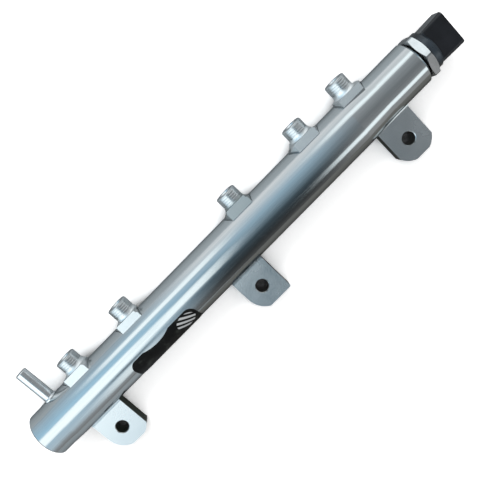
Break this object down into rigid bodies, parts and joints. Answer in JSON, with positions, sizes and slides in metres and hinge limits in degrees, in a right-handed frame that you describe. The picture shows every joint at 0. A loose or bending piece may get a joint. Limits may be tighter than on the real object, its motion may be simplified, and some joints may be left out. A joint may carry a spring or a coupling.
{
  "type": "fuel rail",
  "caption": "Forged common fuel rail for a diesel engine: a thick tube with port nipples, bolt ears, a return stub and a screwed-in pressure sensor.",
  "frame": {"origin": "centre of the middle ear's bolt hole, at the ears' seating face", "axes": "+X along the rail from the return stub to the pressure sensor, +Y towards the port nipples, +Z away from the seating face"},
  "size_m": [0.3498, 0.0865, 0.032],
  "materials": {
    "plated_steel": "bright satin plating",
    "turned_steel": "fine turned, plated",
    "hardened_steel": "ground",
    "spring_steel": "drawn wire",
    "seal_rubber": "smooth",
    "connector_plastic": "moulded, fine grained",
    "carrier_plastic": "moulded",
    "circuit_board": "lacquered",
    "terminal_metal": "tinned",
    "label_film": "black film"
  },
  "bodies": {
    "rail": {"rail_body": "plated_steel", "return_stub": "turned_steel", "throttle_insert_1": "hardened_steel", "throttle_insert_2": "hardened_steel", "throttle_insert_3": "hardened_steel", "throttle_insert_4": "hardened_steel", "throttle_insert_5": "hardened_steel", "relief_housing": "turned_steel", "relief_seat": "hardened_steel", "relief_spring": "spring_steel", "relief_shim": "hardened_steel", "relief_seal_ring": "seal_rubber", "sensor_body": "turned_steel", "sensor_diaphragm": "hardened_steel", "sensor_board": "circuit_board", "board_carrier": "carrier_plastic", "sensor_seal_ring": "seal_rubber", "connector_shell": "connector_plastic", "terminal_1": "terminal_metal", "terminal_2": "terminal_metal", "terminal_3": "terminal_metal", "label": "label_film"},
    "plunger": {"relief_plunger": "hardened_steel"}
  },
  "joints": [
    {"name": "relief_lift", "type": "slide", "parent": "rail", "child": "plunger", "axis": [-1, 0, 0], "range_m": [0, 0.0008], "stiffness_N_per_m": 40, "springref_m": -0.0005, "deforming": ["relief_spring"]}
  ]
}
